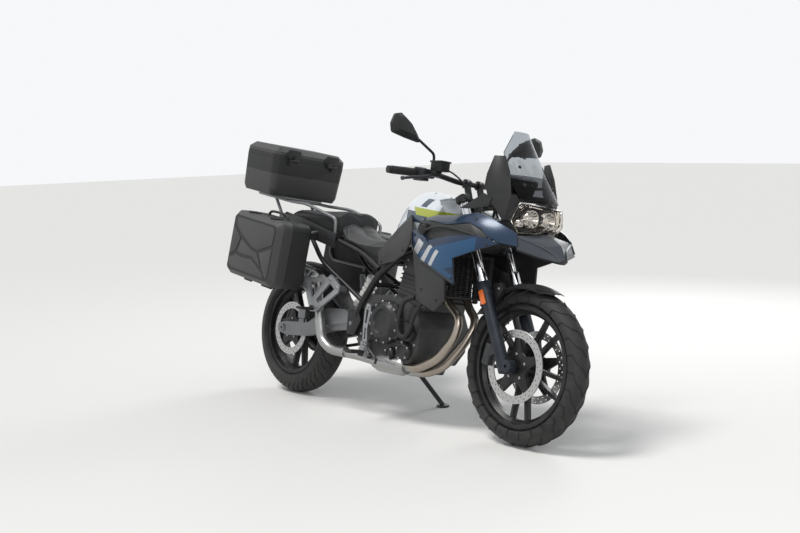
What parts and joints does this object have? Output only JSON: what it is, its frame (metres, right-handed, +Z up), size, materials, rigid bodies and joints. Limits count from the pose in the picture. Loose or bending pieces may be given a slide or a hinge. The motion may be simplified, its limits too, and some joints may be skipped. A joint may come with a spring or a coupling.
{
  "type": "adventure motorcycle",
  "caption": "Adventure motorcycle with tall screen, beak, side fairings, top case and side cases, leaning on its side stand; wheels, steering, stand and lids move.",
  "frame": {"origin": "on the ground under the middle of the parked machine's overall box", "axes": "+X forward, +Y to the rider's left, +Z up from the ground; the machine leans 10 degrees to +Y on its side stand"},
  "size_m": [2.2767, 1.0185, 1.3844],
  "materials": {
    "black_metal": "satin",
    "tyre": "matte",
    "steel": "brushed",
    "fork_grey": "satin",
    "black_plastic": "matte",
    "engine_alu": "satin",
    "rubber": "matte",
    "bright_steel": "satin",
    "silver_alu": "satin",
    "white_paint": "gloss",
    "grey_plastic": "matte",
    "blue_paint": "metallic gloss",
    "lamp_silver": "polished",
    "clear": "clear",
    "seat": "grained",
    "red_lens": "clear red",
    "case_grey": "textured"
  },
  "bodies": {
    "chassis": {"rear_frame": "black_metal", "swing_arm": "black_metal", "rear_shock": "steel", "chain": "steel", "engine_block": "engine_alu", "engine_covers": "engine_alu", "coolant_hoses": "rubber", "radiator": "black_metal", "exhaust_pipes": "bright_steel", "silencer": "bright_steel", "passenger_hangers": "silver_alu", "footrests": "silver_alu", "tank_cover": "white_paint", "knee_panels": "grey_plastic", "side_fairings": "blue_paint", "upper_strips": "blue_paint", "inner_fairings": "black_plastic", "headlamp": "lamp_silver", "headlamp_lens": "clear", "windscreen": "clear", "nose_cowl": "grey_plastic", "beak": "grey_plastic", "main_frame": "black_metal", "instruments": "black_plastic", "rider_seat": "seat", "pillion_seat": "seat", "tail_covers": "black_plastic", "rear_mudguard": "black_plastic", "number_plate": "black_plastic", "tail_lamps": "red_lens", "pannier_shells": "case_grey", "top_case_shell": "case_grey", "luggage_rack": "silver_alu", "stand_bracket": "black_metal"},
    "steering": {"fork_legs": "fork_grey", "fork_clamps": "black_metal", "handlebar": "black_metal", "hand_controls": "black_plastic", "mirrors": "black_plastic", "front_fender": "black_plastic", "front_calipers": "black_metal"},
    "front_wheel": {"front_rim": "black_metal", "front_tyre": "tyre", "front_discs": "steel"},
    "rear_wheel": {"rear_rim": "black_metal", "rear_tyre": "tyre", "rear_disc": "steel", "rear_sprocket": "steel"},
    "side_stand": {"side_stand": "black_metal"},
    "top_case_lid": {"top_case_lid": "case_grey"},
    "pannier_right_lid": {"pannier_right_lid": "case_grey"},
    "pannier_left_lid": {"pannier_left_lid": "case_grey"}
  },
  "joints": [
    {"name": "steering", "type": "hinge", "parent": "chassis", "child": "steering", "pos_m": [0.55082, -0.09023, 0.70286], "axis": [-0.4538, 0.1547, 0.8776], "range_deg": [-38, 38]},
    {"name": "front_wheel_spin", "type": "hinge", "parent": "steering", "child": "front_wheel", "pos_m": [0.80944, -0.15688, 0.32484], "axis": [0, 0.9848, -0.1736], "continuous": true},
    {"name": "rear_wheel_spin", "type": "hinge", "parent": "chassis", "child": "rear_wheel", "pos_m": [-0.74957, -0.15827, 0.31726], "axis": [0, 0.9848, -0.1736], "continuous": true},
    {"name": "side_stand_fold", "type": "hinge", "parent": "chassis", "child": "side_stand", "pos_m": [-0.05958, -0.05822, 0.23958], "axis": [0.2762, 0.787, 0.5517], "range_deg": [0, 111]},
    {"name": "top_case_lid_hinge", "type": "hinge", "parent": "chassis", "child": "top_case_lid", "pos_m": [-0.82461, -0.01218, 1.14577], "axis": [0, 0.9848, -0.1736], "range_deg": [0, 80]},
    {"name": "pannier_right_lid_hinge", "type": "hinge", "parent": "chassis", "child": "pannier_right_lid", "pos_m": [-0.73796, -0.43501, 0.58079], "axis": [0.9914, -0.0227, -0.1287], "range_deg": [0, 80]},
    {"name": "pannier_left_lid_hinge", "type": "hinge", "parent": "chassis", "child": "pannier_left_lid", "pos_m": [-0.73799, 0.19192, 0.47025], "axis": [-0.9914, 0.0227, 0.1287], "range_deg": [0, 80]}
  ]
}
